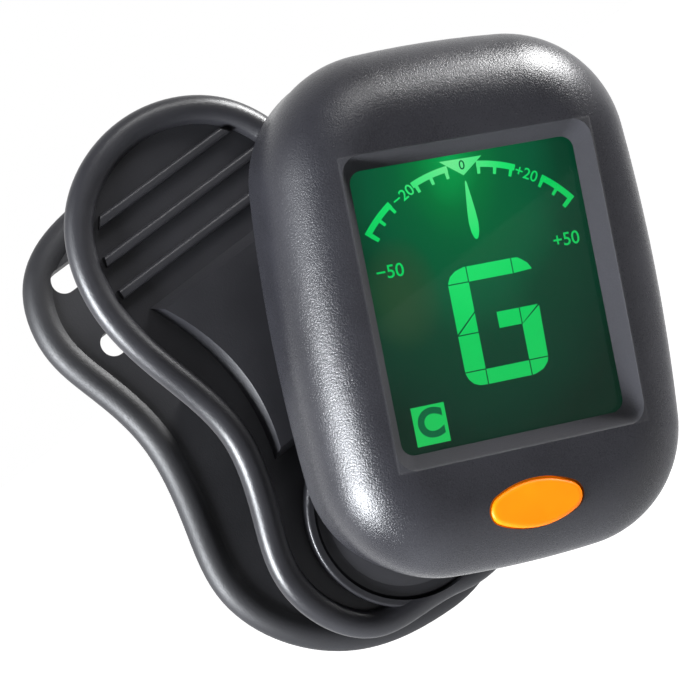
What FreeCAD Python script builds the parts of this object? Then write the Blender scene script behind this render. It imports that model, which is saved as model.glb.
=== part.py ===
import FreeCAD, Part
import math
import os

import Sketcher
from FreeCAD import Placement, Rotation, Vector

# A clip-on tuner in millimetres. The row frame stands on the closed jaws: X runs across the clip,
# Z runs up its levers to the finger grips and Y runs from the display to the back lever. The origin
# is the middle of the grip between the two jaw pads, on the axis of the swivel socket.
#
# The head's pieces are drawn in the head's own frame (x across the display, y into the case, z up
# the display, origin at the middle of the display on the lens) and placed as a group. The swivel's
# pieces are drawn about the socket axis, and the back lever's pieces as if it lay parallel to the
# front lever, before the hinge turns it.

doc = FreeCAD.newDocument("ClipOnTuner")
sheet = doc.addObject("Spreadsheet::Sheet", "Sizes")

SIZES = (
    # head case
    ("head_width", 39.7), ("head_height", 53.6), ("head_drop", 0.6),
    ("side_bow", 180.0), ("end_bow", 110.0), ("case_corner", 12.4),
    ("face_rise", 2.4), ("split_depth", 6.3), ("case_depth", 14.5),
    ("face_fillet", 8.0), ("back_fillet", 3.0), ("shell_wall", 1.9), ("back_wall", 1.6),
    ("cavity_fillet", 5.2), ("seam_step", 0.15), ("seam_chamfer", 0.22),
    ("boss_from_side", 5.65), ("boss_from_end", 8.2), ("boss_radius", 1.9), ("pilot_radius", 0.75),
    ("screw_shank", 0.75), ("screw_length", 8.0), ("screw_head_radius", 1.5),
    ("screw_head_depth", 1.0), ("screw_clearance", 0.1),
    # display
    ("window_width", 23.6), ("window_height", 28.1), ("window_corner", 1.3), ("bevel_width", 1.35),
    ("lens_lap", 0.9), ("lens_thick", 0.9), ("stack_gap", 0.1), ("glass_thick", 1.5),
    ("guide_thick", 1.6), ("frame_wall", 1.0), ("frame_gap", 0.15), ("strip_height", 1.4),
    # circuit board and what it carries
    ("board_front", 4.7), ("board_thick", 1.0), ("board_side_gap", 2.65),
    ("board_end_gap", 1.9), ("board_corner", 6.5), ("chip_size", 6.0), ("chip_thick", 1.0), ("chip_z", -9.0),
    ("switch_width", 4.5), ("switch_thick", 1.5), ("led_width", 3.0), ("led_thick", 1.2),
    ("piezo_radius", 5.0), ("piezo_thick", 0.4), ("piezo_from_end", 10.9),
    # power button
    ("button_z", -20.9), ("button_length", 9.7), ("button_height", 4.7), ("button_end", 1.5),
    ("button_gap", 0.15), ("button_flange", 0.7), ("flange_thick", 0.6), ("button_proud", 0.05),
    ("button_stem", 1.2), ("button_travel", 0.4), ("button_relief", 0.2),
    # battery
    ("cell_radius", 10.0), ("cell_thick", 3.2), ("cell_z", 6.0), ("tray_wall", 0.8),
    ("tray_floor", 0.6), ("cell_gap", 0.15), ("contact_thick", 0.2), ("contact_width", 3.0),
    ("door_width", 23.0), ("door_low", -6.5), ("door_high", 21.0), ("door_thick", 1.2),
    ("door_gap", 0.12), ("tongue_width", 0.9), ("tongue_thick", 0.5), ("grip_pitch", 1.4),
    # head joint
    ("socket_drop", 20.6), ("tilt_pin_behind", 18.2), ("head_turn", 26.15), ("head_lean", 3.5),
    ("tilt_pin_offset", 5.86), ("tilt_pin_rise", 5.67), ("tilt_pin_radius", 1.0),
    ("knuckle_radius", 2.5), ("knuckle_half", 2.5), ("ear_gap", 0.1), ("ear_thick", 1.8),
    ("ear_radius", 2.6), ("running_gap", 0.05),
    # swivel
    ("socket_radius", 10.5), ("socket_lip", 0.85), ("lip_rise", 1.3), ("socket_sink", 0.4),
    ("disc_gap", 0.08), ("disc_front", 0.9), ("dome_radius", 9.0), ("dome_rise", 1.3),
    ("hub_radius", 2.5), ("washer_radius", 4.2), ("washer_thick", 0.4), ("swivel_screw_radius", 1.0),
    ("swivel_head_radius", 1.9), ("swivel_head_depth", 0.6), ("seat_depth", 1.2),
    # clip levers
    ("jaw_half_gap", 0.4), ("rim_to_grip", 6.0), ("bead_radius", 1.55),
    ("plate_front", 0.2), ("plate_back", 2.4),
    ("front_jaw_end", -12.2), ("front_jaw_shoulder_half", 11.9), ("front_jaw_shoulder_height", -9.3),
    ("front_jaw_half", 16.6), ("front_jaw_height", 0.6),
    ("front_flank_half", 14.4), ("front_flank_height", 9.0),
    ("front_waist_half", 12.0), ("front_waist_height", 17.5),
    ("front_rise_half", 13.6), ("front_rise_height", 27.0),
    ("front_grip_half", 14.9), ("front_grip_height", 36.0),
    ("front_grip_shoulder_half", 11.0), ("front_grip_shoulder_height", 46.8),
    ("front_grip_end", 51.5),
    ("back_jaw_end", -15.1), ("back_jaw_shoulder_half", 13.0), ("back_jaw_shoulder_height", -10.8),
    ("back_jaw_half", 20.5), ("back_jaw_height", 2.5),
    ("back_flank_half", 18.9), ("back_flank_height", 11.0),
    ("back_waist_half", 16.7), ("back_waist_height", 22.5),
    ("back_rise_half", 17.9), ("back_rise_height", 30.0),
    ("back_grip_half", 18.9), ("back_grip_height", 36.5),
    ("back_grip_shoulder_half", 15.8), ("back_grip_shoulder_height", 44.5),
    ("back_grip_end", 48.6),
    ("rib_low", 36.2), ("rib_pitch", 3.7), ("rib_width", 1.1), ("rib_rise", 1.2), ("rib_round", 0.4),
    ("dish_margin", 0.5), ("panel_top", 33.8), ("panel_top_half", 9.6), ("panel_waist_half", 7.0),
    ("panel_waist_height", 19.4), ("panel_foot", 12.5), ("panel_foot_half", 8.5),
    ("panel_rise", 1.5), ("panel_bevel", 1.0),
    ("back_behind_pivot", 6.5), ("back_half_plate", 1.3), ("back_lip_radius", 1.9),
    ("slot_low", 33.0), ("slot_high", 42.0), ("slot_height", 3.0), ("slot_reach", 13.6),
    ("back_rib_rise", 0.8), ("back_rib_pitch", 2.1),
    # clip hinge
    ("pivot_behind_grip", 1.0), ("pivot_height", 17.0), ("pivot_radius", 1.1), ("hinge_rest", 8.0),
    ("cheek_outer", 9.9), ("cheek_thick", 1.6), ("cheek_gap", 0.3), ("cheek_radius", 3.0),
    ("cheek_low", 9.5), ("cheek_high", 25.0),
    ("wire_radius", 0.4), ("coil_radius", 2.2), ("coil_pitch", 1.05), ("coil_turns", 7.0),
    ("leg_reach", 14.0),
    # jaw pads
    ("pad_width", 25.0), ("pad_height", 15.0), ("pad_corner", 5.5), ("pad_z", -1.4),
    ("pad_round", 0.7),
)


def fill_sheet():
    for row, (alias, value) in enumerate(SIZES, start=1):
        sheet.set("A%d" % row, alias.replace("_", " "))
        sheet.set("B%d" % row, str(value))
        sheet.setAlias("B%d" % row, alias)
    doc.recompute()


fill_sheet()


def size(alias):
    return float(sheet.get(alias))


def number(expression):
    return float(sheet.evalExpression(expression))


# ------------------------------------------------------------------ the three group placements

RIM_Y = -size("rim_to_grip")
PIVOT = Vector(0, size("pivot_behind_grip"), size("pivot_height"))


def swivel_place():
    return Placement(Vector(0, RIM_Y, 0), Rotation(Vector(0, 1, 0), size("head_turn")))


def head_place():
    pin = Placement(Vector(size("tilt_pin_offset"), -size("tilt_pin_rise"), 0), Rotation())
    lean = Placement(Vector(), Rotation(Vector(0, 0, 1), -size("head_lean")))
    to_pin = Placement(Vector(0, -size("tilt_pin_behind"), size("socket_drop")), Rotation())
    return swivel_place() * pin * lean * to_pin


def back_place():
    turn = Rotation(Vector(1, 0, 0), -size("hinge_rest"))
    return Placement(Vector(), turn, PIVOT)


HERE = Placement()
HEAD = head_place()
SWIVEL = swivel_place()
BACK = back_place()


# ------------------------------------------------------------------ drawing helpers

PIECES = []


def piece(obj, label, place=HERE):
    obj.Label = label
    obj.Placement = place
    PIECES.append(obj)
    return obj


def solid_piece(label, shape, place=HERE):
    obj = doc.addObject("Part::Feature", label)
    obj.Shape = shape.removeSplitter()
    return piece(obj, label, place)


def new_body(label, place=HERE):
    return piece(doc.addObject("PartDesign::Body", label), label, place)


def origin_plane(body, role):
    for plane in body.Origin.OriginFeatures:
        if plane.Role == role:
            return plane
    raise ValueError(role)


def depth_sketch(body, name, depth, rise="0", across="0"):
    """A sketch across the display axis, at a depth behind its origin, facing the front."""
    sketch = body.newObject("Sketcher::SketchObject", name)
    sketch.AttachmentSupport = [(origin_plane(body, "XZ_Plane"), "")]
    sketch.MapMode = "FlatFace"
    sketch.setExpression("AttachmentOffset.Base.x", across)
    sketch.setExpression("AttachmentOffset.Base.y", rise)
    sketch.setExpression("AttachmentOffset.Base.z", "-1 * (%s)" % depth)
    return sketch


def dimension(sketch, constraint, expression):
    index = sketch.addConstraint(constraint)
    sketch.setExpression("Constraints[%d]" % index, expression)


def arc(centre_x, centre_z, radius, start, end):
    circle = Part.Circle(Vector(centre_x, centre_z, 0), Vector(0, 0, 1), radius)
    return Part.ArcOfCircle(circle, math.radians(start), math.radians(end))


def join_loop(sketch, first, count):
    for step in range(count):
        here, after = first + step, first + (step + 1) % count
        sketch.addConstraint(Sketcher.Constraint("Tangent", here, 2, after, 1))


def draw_circle(sketch, radius, centre_x="0", centre_z="0"):
    x, z = number(centre_x), number(centre_z)
    first = sketch.addGeometry(Part.Circle(Vector(x, z, 0), Vector(0, 0, 1), number(radius)), False)
    dimension(sketch, Sketcher.Constraint("Radius", first, number(radius)), radius)
    for kind, value, text in (("DistanceX", x, centre_x), ("DistanceY", z, centre_z)):
        if value < 0:
            dimension(sketch, Sketcher.Constraint(kind, first, 3, -1, 1, -value), "-1 * (%s)" % text)
        else:
            dimension(sketch, Sketcher.Constraint(kind, -1, 1, first, 3, value), text)


def draw_rounded_box(sketch, width, height, corner):
    w, h, r = number(width) / 2, number(height) / 2, number(corner)
    u, v = w - r, h - r
    loop = (
        Part.LineSegment(Vector(w, -v, 0), Vector(w, v, 0)), arc(u, v, r, 0, 90),
        Part.LineSegment(Vector(u, h, 0), Vector(-u, h, 0)), arc(-u, v, r, 90, 180),
        Part.LineSegment(Vector(-w, v, 0), Vector(-w, -v, 0)), arc(-u, -v, r, 180, 270),
        Part.LineSegment(Vector(-u, -h, 0), Vector(u, -h, 0)), arc(u, -v, r, 270, 360),
    )
    first = sketch.GeometryCount
    for curve in loop:
        sketch.addGeometry(curve, False)
    join_loop(sketch, first, len(loop))
    for kind, line in (("Vertical", 0), ("Vertical", 4), ("Horizontal", 2), ("Horizontal", 6)):
        sketch.addConstraint(Sketcher.Constraint(kind, first + line))
    for other in (3, 5, 7):
        sketch.addConstraint(Sketcher.Constraint("Equal", first + 1, first + other))
    sketch.addConstraint(Sketcher.Constraint("Symmetric", first + 5, 3, first + 1, 3, -1, 1))
    dimension(sketch, Sketcher.Constraint("Radius", first + 1, r), corner)
    for kind, half, whole in (("DistanceX", u, width), ("DistanceY", v, height)):
        rule = Sketcher.Constraint(kind, -1, 1, first + 1, 3, half)
        dimension(sketch, rule, "(%s) / 2 - (%s)" % (whole, corner))


def corner_centre(half_w, half_h, side, end, corner):
    """Centre of the corner arc that is tangent inside both bowed sides."""
    side_x, end_z = half_w - side, half_h - end
    reach_side, reach_end = side - corner, end - corner
    apart = math.hypot(side_x, end_z)
    along = (reach_side ** 2 - reach_end ** 2 + apart ** 2) / (2 * apart)
    off = math.sqrt(reach_side ** 2 - along ** 2)
    ux, uz = -side_x / apart, end_z / apart
    return side_x + along * ux - off * uz, along * uz + off * ux


def draw_bowed_box(sketch, width, height, side, end, corner):
    """A rounded rectangle whose four sides are shallow arcs, as a soft moulded case has."""
    w, h = number(width) / 2, number(height) / 2
    s, e, r = number(side), number(end), number(corner)
    cx, cz = corner_centre(w, h, s, e, r)
    low = math.degrees(math.atan2(cz, cx - (w - s)))
    high = math.degrees(math.atan2(cz - (h - e), cx))
    loop = (
        arc(w - s, 0, s, -low, low), arc(cx, cz, r, low, high),
        arc(0, h - e, e, high, 180 - high), arc(-cx, cz, r, 180 - high, 180 - low),
        arc(s - w, 0, s, 180 - low, 180 + low), arc(-cx, -cz, r, 180 + low, 180 + high),
        arc(0, e - h, e, 180 + high, 360 - high), arc(cx, -cz, r, 360 - high, 360 - low),
    )
    first = sketch.GeometryCount
    for curve in loop:
        sketch.addGeometry(curve, False)
    join_loop(sketch, first, len(loop))
    for other in (3, 5, 7):
        sketch.addConstraint(Sketcher.Constraint("Equal", first + 1, first + other))
    sketch.addConstraint(Sketcher.Constraint("Equal", first, first + 4))
    sketch.addConstraint(Sketcher.Constraint("Equal", first + 2, first + 6))
    for part, axis in ((0, -1), (4, -1), (2, -2), (6, -2)):
        sketch.addConstraint(Sketcher.Constraint("PointOnObject", first + part, 3, axis))
    for part, radius, text in ((0, s, side), (1, r, corner), (2, e, end)):
        dimension(sketch, Sketcher.Constraint("Radius", first + part, radius), text)
    across = "(%s) - (%s) / 2" % (side, width)
    upward = "(%s) - (%s) / 2" % (end, height)
    dimension(sketch, Sketcher.Constraint("DistanceX", first, 3, -1, 1, s - w), across)
    dimension(sketch, Sketcher.Constraint("DistanceX", -1, 1, first + 4, 3, s - w), across)
    dimension(sketch, Sketcher.Constraint("DistanceY", first + 2, 3, -1, 1, e - h), upward)
    dimension(sketch, Sketcher.Constraint("DistanceY", -1, 1, first + 6, 3, e - h), upward)


def draw_case(sketch, inset="0"):
    draw_bowed_box(
        sketch,
        "Sizes.head_width - 2 * (%s)" % inset, "Sizes.head_height - 2 * (%s)" % inset,
        "Sizes.side_bow - (%s)" % inset, "Sizes.end_bow - (%s)" % inset,
        "Sizes.case_corner - (%s)" % inset)


def draw_button(sketch, grow="0"):
    """The button's oval: two tight end arcs and two long arcs, all tangent."""
    half = "(Sizes.button_length / 2 + (%s))" % grow
    tall = "(Sizes.button_height / 2 + (%s))" % grow
    end = "(Sizes.button_end + (%s))" % grow
    bow = "(((%s - %s) ^ 2 + %s ^ 2 - %s ^ 2) / (2 * (%s - %s)))" % (half, end, tall, end, tall, end)
    a, b, r, s = number(half), number(tall), number(end), number(bow)
    turn = math.degrees(math.atan2(s - b, a - r))
    loop = (
        arc(a - r, 0, r, -turn, turn), arc(0, b - s, s, turn, 180 - turn),
        arc(r - a, 0, r, 180 - turn, 180 + turn), arc(0, s - b, s, 180 + turn, 360 - turn),
    )
    first = sketch.GeometryCount
    for curve in loop:
        sketch.addGeometry(curve, False)
    join_loop(sketch, first, len(loop))
    sketch.addConstraint(Sketcher.Constraint("Equal", first, first + 2))
    sketch.addConstraint(Sketcher.Constraint("Equal", first + 1, first + 3))
    for part, axis in ((0, -1), (2, -1), (1, -2)):
        sketch.addConstraint(Sketcher.Constraint("PointOnObject", first + part, 3, axis))
    dimension(sketch, Sketcher.Constraint("Radius", first, r), end)
    across, upward = "%s - %s" % (half, end), "%s - %s" % (bow, tall)
    dimension(sketch, Sketcher.Constraint("DistanceX", -1, 1, first, 3, a - r), across)
    dimension(sketch, Sketcher.Constraint("DistanceY", first + 1, 3, -1, 1, s - b), upward)


def pad(body, sketch, length, name):
    """Material from the sketch towards the front."""
    feature = body.newObject("PartDesign::Pad", name)
    feature.Profile = sketch
    feature.setExpression("Length", length)
    sketch.Visibility = False
    doc.recompute()
    return feature


def pocket(body, sketch, length, name):
    """A cut from the sketch towards the front. It has to take material away."""
    before = body.Shape.Volume
    feature = body.newObject("PartDesign::Pocket", name)
    feature.Profile = sketch
    feature.setExpression("Length", length)
    feature.Reversed = True
    doc.recompute()
    if not body.Shape.Volume < before:
        raise ValueError(name + " cuts nothing")
    return feature


def fillet(body, base, radius, name, wanted):
    names = ["Edge%d" % n for n, edge in enumerate(base.Shape.Edges, start=1) if wanted(edge)]
    if not names:
        raise ValueError(name + " finds no edge")
    feature = body.newObject("PartDesign::Fillet", name)
    feature.Base = (base, names)
    feature.setExpression("Radius", radius)
    doc.recompute()
    return feature


def chamfer(body, base, length, name, wanted):
    names = ["Edge%d" % n for n, edge in enumerate(base.Shape.Edges, start=1) if wanted(edge)]
    feature = body.newObject("PartDesign::Chamfer", name)
    feature.Base = (base, names)
    feature.setExpression("Size", length)
    doc.recompute()
    return feature


def at_depth(depth):
    """Chooses the edges that lie in the plane at one depth."""
    def wanted(edge):
        box = edge.BoundBox
        return abs(box.YMin - depth) < 0.01 and abs(box.YMax - depth) < 0.01
    return wanted


def rounded_plate(label, front, back, width, height, corner, rise="0", place=HEAD):
    body = new_body(label, place)
    sketch = depth_sketch(body, label + "_outline", back, rise)
    draw_rounded_box(sketch, width, height, corner)
    pad(body, sketch, "(%s) - (%s)" % (back, front), label + "_pad")
    return body


def drum(label, radius, front, back, x="0", z="0", place=HEAD):
    """A plain cylinder along the depth axis, from one depth to another."""
    obj = doc.addObject("Part::Cylinder", label)
    obj.setExpression("Radius", radius)
    obj.setExpression("Height", "(%s) - (%s)" % (back, front))
    along = Placement(Vector(number(x), number(front), number(z)), Rotation(Vector(1, 0, 0), -90))
    return piece(obj, label, place * along)


def rod(start, direction, radius, length):
    return Part.makeCylinder(radius, length, start, direction)


def block(x0, x1, y0, y1, z0, z1):
    return Part.makeBox(x1 - x0, y1 - y0, z1 - z0, Vector(x0, y0, z0))


DEEP = Vector(0, 1, 0)
ACROSS = Vector(1, 0, 0)
UPWARD = Vector(0, 0, 1)

# ------------------------------------------------------------------ head case

CASE_RISE = "-1 * Sizes.head_drop"
BOSSES = [(x, z) for x in (-1, 1) for z in (-1, 1)]


def boss_spots():
    drop = size("head_drop")
    across = size("head_width") / 2 - size("boss_from_side")
    along = size("head_height") / 2 - size("boss_from_end")
    return [(x * across, z * along - drop) for x, z in BOSSES]


def draw_bosses(sketch, radius):
    for x, z in BOSSES:
        draw_circle(sketch, radius, "%d * (Sizes.head_width / 2 - Sizes.boss_from_side)" % x,
                    "%d * (Sizes.head_height / 2 - Sizes.boss_from_end)" % z)


def case_core():
    """The hollow inside the front half: the case outline moved in, with a soft front edge."""
    body = doc.addObject("PartDesign::Body", "front_hollow")
    outline = depth_sketch(body, "hollow_outline", "Sizes.split_depth + 1", CASE_RISE)
    draw_case(outline, "Sizes.shell_wall")
    block_pad = pad(body, outline, "Sizes.split_depth + 1", "hollow_block")
    fillet(body, block_pad, "Sizes.cavity_fillet", "soft_hollow", at_depth(0))
    return body.Shape.copy()


def flange_space():
    """Room behind the face for the flange that keeps the button in."""
    body = doc.addObject("PartDesign::Body", "flange_room")
    outline = depth_sketch(body, "room_outline", "Sizes.split_depth", "Sizes.button_z")
    draw_button(outline, "Sizes.button_flange + 0.2")
    pad(body, outline, "Sizes.split_depth", "room_block")
    return body.Shape.copy()


def front_shell():
    body = doc.addObject("PartDesign::Body", "front_case")
    outline = depth_sketch(body, "front_outline", "Sizes.split_depth", CASE_RISE)
    draw_case(outline)
    block_pad = pad(body, outline, "Sizes.split_depth + Sizes.face_rise", "front_block")
    soft = fillet(body, block_pad, "Sizes.face_fillet", "soft_face", at_depth(-size("face_rise")))
    chamfer(body, soft, "Sizes.seam_chamfer", "front_seam", at_depth(size("split_depth")))
    near = depth_sketch(body, "window_edge", "0.01")
    draw_rounded_box(near, "Sizes.window_width", "Sizes.window_height", "Sizes.window_corner")
    far = depth_sketch(body, "bevel_edge", "-1 * Sizes.face_rise - 0.01")
    draw_rounded_box(far, "Sizes.window_width + 2 * Sizes.bevel_width",
                     "Sizes.window_height + 2 * Sizes.bevel_width",
                     "Sizes.window_corner + Sizes.bevel_width / 2")
    doc.recompute()
    bevel = body.newObject("PartDesign::SubtractiveLoft", "window_bevel")
    bevel.Profile = near
    bevel.Sections = [far]
    bevel.Ruled = True
    doc.recompute()
    hole = depth_sketch(body, "button_hole", "Sizes.split_depth", "Sizes.button_z")
    draw_button(hole, "Sizes.button_gap")
    pocket(body, hole, "Sizes.split_depth + Sizes.face_rise + 1", "button_opening")
    outside = body.Shape.copy()
    shape = outside.cut(case_core()).cut(flange_space())
    split, sink = size("split_depth"), size("face_rise") / 4
    for x, z in boss_spots():
        boss = rod(Vector(x, -sink, z), DEEP, size("boss_radius"), split + sink)
        shape = shape.fuse(boss.common(outside))
    for x, z in boss_spots():
        start = Vector(x, split - size("screw_length") + 2, z)
        shape = shape.cut(rod(start, DEEP, size("pilot_radius"), size("screw_length")))
    return solid_piece("front_shell", shape, HEAD)


def knuckle():
    """The lug on the back of the case that turns on the tilt pin."""
    pin_y, low = size("tilt_pin_behind"), -size("socket_drop")
    half, radius = size("knuckle_half"), size("knuckle_radius")
    back = size("case_depth") - 0.5
    barrel = rod(Vector(0, pin_y, low - half), UPWARD, radius, 2 * half)
    web = block(-radius, radius, back, pin_y, low - half, low + half)
    bore_radius = size("tilt_pin_radius") + size("running_gap")
    bore = rod(Vector(0, pin_y, low - half - 1), UPWARD, bore_radius, 2 * half + 2)
    return barrel.fuse(web), bore


def rear_shell():
    """Drawn as a body for its case, then joined with the knuckle and cut for the door and screws."""
    body = doc.addObject("PartDesign::Body", "rear_case")
    outline = depth_sketch(body, "rear_outline", "Sizes.case_depth", CASE_RISE)
    draw_case(outline, "Sizes.seam_step")
    depth = "Sizes.case_depth - Sizes.split_depth"
    block_pad = pad(body, outline, depth, "rear_block")
    soft = fillet(body, block_pad, "Sizes.back_fillet", "soft_back", at_depth(size("case_depth")))
    chamfer(body, soft, "Sizes.seam_chamfer", "rear_seam", at_depth(size("split_depth")))
    hollow = depth_sketch(body, "rear_hollow", "Sizes.case_depth - Sizes.back_wall", CASE_RISE)
    draw_case(hollow, "Sizes.shell_wall")
    pocket(body, hollow, depth + " - Sizes.back_wall", "rear_cavity")
    pillars = depth_sketch(body, "pillar_rings", "Sizes.case_depth - Sizes.back_wall / 2", CASE_RISE)
    draw_bosses(pillars, "Sizes.boss_radius")
    pad(body, pillars, depth + " - Sizes.back_wall / 2", "screw_pillars")
    shape = body.Shape.copy()
    lug, bore = knuckle()
    shape = shape.fuse(lug).cut(bore)
    split, back = size("split_depth"), size("case_depth")
    clear = size("screw_clearance")
    for x, z in boss_spots():
        start = Vector(x, split - 1, z)
        shape = shape.cut(rod(start, DEEP, size("screw_shank") + clear, back - split + 2))
        sink = size("screw_head_depth") + 0.6
        head = rod(Vector(x, back - sink, z), DEEP, size("screw_head_radius") + clear, sink + 1)
        shape = shape.cut(head)
    shape = shape.cut(door_space())
    bay = rod(Vector(0, back - size("back_wall") - 1, size("cell_z")), DEEP,
              size("cell_radius") + size("cell_gap"), size("back_wall") + 2)
    return solid_piece("rear_shell", shape.cut(bay), HEAD)


def door_shape(grow):
    """The battery door with its two side tongues, grown all round by a clearance."""
    half = size("door_width") / 2 + grow
    back, thick = size("case_depth"), size("door_thick") + grow
    low, high = size("door_low") - grow, size("door_high")
    plate = block(-half, half, back - thick, back + (1 if grow else 0), low, high)
    tongue_half = half + size("tongue_width")
    tongue = block(-tongue_half, tongue_half, back - thick,
                   back - thick + size("tongue_thick") + 2 * grow, low, high)
    return plate.fuse(tongue).removeSplitter()


def door_space():
    space = door_shape(size("door_gap"))
    top = size("head_height")
    bounds = space.BoundBox
    lead = block(bounds.XMin, bounds.XMax, bounds.YMin, bounds.YMax, size("door_high") - 0.5, top)
    return space.fuse(lead)


def battery_door():
    """The sliding door. Its top end follows the case, and three ridges give a thumb its hold."""
    door = door_shape(0)
    outline = doc.getObject("soft_back").Shape
    reach = block(-60, 60, size("split_depth"), size("case_depth") + 5, -60, 60)
    door = door.fuse(block(-size("door_width") / 2, size("door_width") / 2,
                           size("case_depth") - size("door_thick"), size("case_depth"),
                           size("door_high") - 1, size("head_height") / 2))
    door = door.common(outline.common(reach))
    for step in range(3):
        z = size("door_low") + 2 + step * size("grip_pitch")
        groove = block(-5, 5, size("case_depth") - 0.35, size("case_depth") + 1, z, z + 0.6)
        door = door.cut(groove)
    return solid_piece("battery_door", door, HEAD)


def case_screws():
    """Four self-tapping screws that go in from the back of the case."""
    back = size("case_depth") - 0.6
    screws = []
    for x, z in boss_spots():
        head_depth = size("screw_head_depth")
        head = rod(Vector(x, back - head_depth, z), DEEP, size("screw_head_radius"), head_depth)
        shank = rod(Vector(x, back - size("screw_length"), z), DEEP, size("screw_shank") - 0.02,
                    size("screw_length") - head_depth)
        slot = block(x - 1.0, x + 1.0, back - 0.4, back + 1, z - 0.15, z + 0.15)
        cross = block(x - 0.15, x + 0.15, back - 0.4, back + 1, z - 1.0, z + 1.0)
        screws.append(head.fuse(shank).cut(slot).cut(cross))
    return solid_piece("case_screws", Part.makeCompound(screws), HEAD)


front_shell()
rear_shell()
battery_door()
case_screws()

# ------------------------------------------------------------------ display stack

LENS_BACK = "(Sizes.lens_thick + Sizes.stack_gap / 2)"
GLASS_FRONT = "(Sizes.lens_thick + Sizes.stack_gap)"
GLASS_BACK = "(%s + Sizes.glass_thick)" % GLASS_FRONT
GUIDE_FRONT = "(%s + Sizes.stack_gap)" % GLASS_BACK
GUIDE_BACK = "(%s + Sizes.guide_thick)" % GUIDE_FRONT
STACK_WIDTH = "(Sizes.window_width + Sizes.lens_lap)"
STACK_HEIGHT = "(Sizes.window_height + Sizes.lens_lap)"

rounded_plate("display_lens", "Sizes.stack_gap / 2", LENS_BACK,
              "Sizes.window_width + Sizes.lens_lap", "Sizes.window_height + 2 * Sizes.lens_lap",
              "Sizes.window_corner")
rounded_plate("lcd_glass", GLASS_FRONT, GLASS_BACK, STACK_WIDTH, STACK_HEIGHT, "0.5")
rounded_plate("backlight_panel", GUIDE_FRONT, GUIDE_BACK, STACK_WIDTH,
              STACK_HEIGHT + " - 2 * Sizes.strip_height", "0.5", "0")
rounded_plate("zebra_strip", GUIDE_FRONT, "Sizes.board_front", STACK_WIDTH + " - 1",
              "Sizes.strip_height - 0.2", "0.3",
              "-1 * (%s) / 2 + Sizes.strip_height / 2" % STACK_HEIGHT)
rounded_plate("backlight_led", GUIDE_FRONT, "Sizes.board_front", "Sizes.led_width",
              "Sizes.led_thick", "0.2", "(%s) / 2 - Sizes.strip_height / 2" % STACK_HEIGHT)


def lcd_frame():
    body = new_body("lcd_frame", HEAD)
    grow = "2 * Sizes.frame_gap"
    outer = depth_sketch(body, "frame_outer", "Sizes.board_front")
    draw_rounded_box(outer, "%s + %s + 2 * Sizes.frame_wall" % (STACK_WIDTH, grow),
                     "%s + %s + 2 * Sizes.frame_wall" % (STACK_HEIGHT, grow), "1.2")
    height = "Sizes.board_front - %s" % GLASS_FRONT
    pad(body, outer, height, "frame_block")
    inner = depth_sketch(body, "frame_inner", "Sizes.board_front")
    draw_rounded_box(inner, "%s + %s" % (STACK_WIDTH, grow), "%s + %s" % (STACK_HEIGHT, grow), "0.6")
    pocket(body, inner, height, "frame_opening")
    return body


lcd_frame()

# ------------------------------------------------------------------ circuit board

BOARD_BACK = "(Sizes.board_front + Sizes.board_thick)"


def circuit_board():
    body = rounded_plate("circuit_board", "Sizes.board_front", BOARD_BACK,
                         "Sizes.head_width - 2 * (Sizes.shell_wall + Sizes.board_side_gap)",
                         "Sizes.head_height - 2 * (Sizes.shell_wall + Sizes.board_end_gap)",
                         "Sizes.board_corner", CASE_RISE)
    notches = depth_sketch(body, "boss_notches", BOARD_BACK, CASE_RISE)
    draw_bosses(notches, "Sizes.boss_radius + 0.2")
    pocket(body, notches, "Sizes.board_thick", "boss_holes")
    return body


circuit_board()
rounded_plate("processor_chip", BOARD_BACK, BOARD_BACK + " + Sizes.chip_thick", "Sizes.chip_size",
              "Sizes.chip_size", "0.3", "Sizes.chip_z")
rounded_plate("tact_switch", "Sizes.board_front - Sizes.switch_thick", "Sizes.board_front",
              "Sizes.switch_width", "Sizes.switch_width - 1", "0.4", "Sizes.button_z")
drum("piezo_disc", "Sizes.piezo_radius",
     "Sizes.case_depth - Sizes.back_wall - Sizes.piezo_thick", "Sizes.case_depth - Sizes.back_wall",
     z="Sizes.piezo_from_end - Sizes.head_height / 2 - Sizes.head_drop")


def power_button():
    """An oval cap that pokes through the case, a flange that keeps it in and a stem to the switch."""
    body = new_body("power_button", HEAD)
    rise = "Sizes.button_z"
    cap = depth_sketch(body, "cap_outline", "Sizes.flange_thick / 2", rise)
    draw_button(cap)
    length = "Sizes.face_rise + Sizes.button_proud + Sizes.flange_thick / 2"
    block_pad = pad(body, cap, length, "cap")
    front = -size("face_rise") - size("button_proud")
    fillet(body, block_pad, "0.5", "cap_edge", at_depth(front))
    flange = depth_sketch(body, "flange_outline", "Sizes.button_relief + Sizes.flange_thick", rise)
    draw_button(flange, "Sizes.button_flange")
    pad(body, flange, "Sizes.flange_thick", "flange")
    stem_end = "Sizes.board_front - Sizes.switch_thick - Sizes.button_travel - 0.1"
    stem = depth_sketch(body, "stem_outline", stem_end, rise)
    draw_circle(stem, "Sizes.button_stem")
    pad(body, stem, stem_end + " - Sizes.flange_thick", "stem")
    return body


power_button()

# ------------------------------------------------------------------ battery

CELL_BACK = "(Sizes.case_depth - Sizes.door_thick - Sizes.door_gap - 0.1)"
CELL_FRONT = "(%s - Sizes.cell_thick)" % CELL_BACK
TRAY_BACK = "(Sizes.case_depth - Sizes.back_wall - 0.05)"


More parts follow.
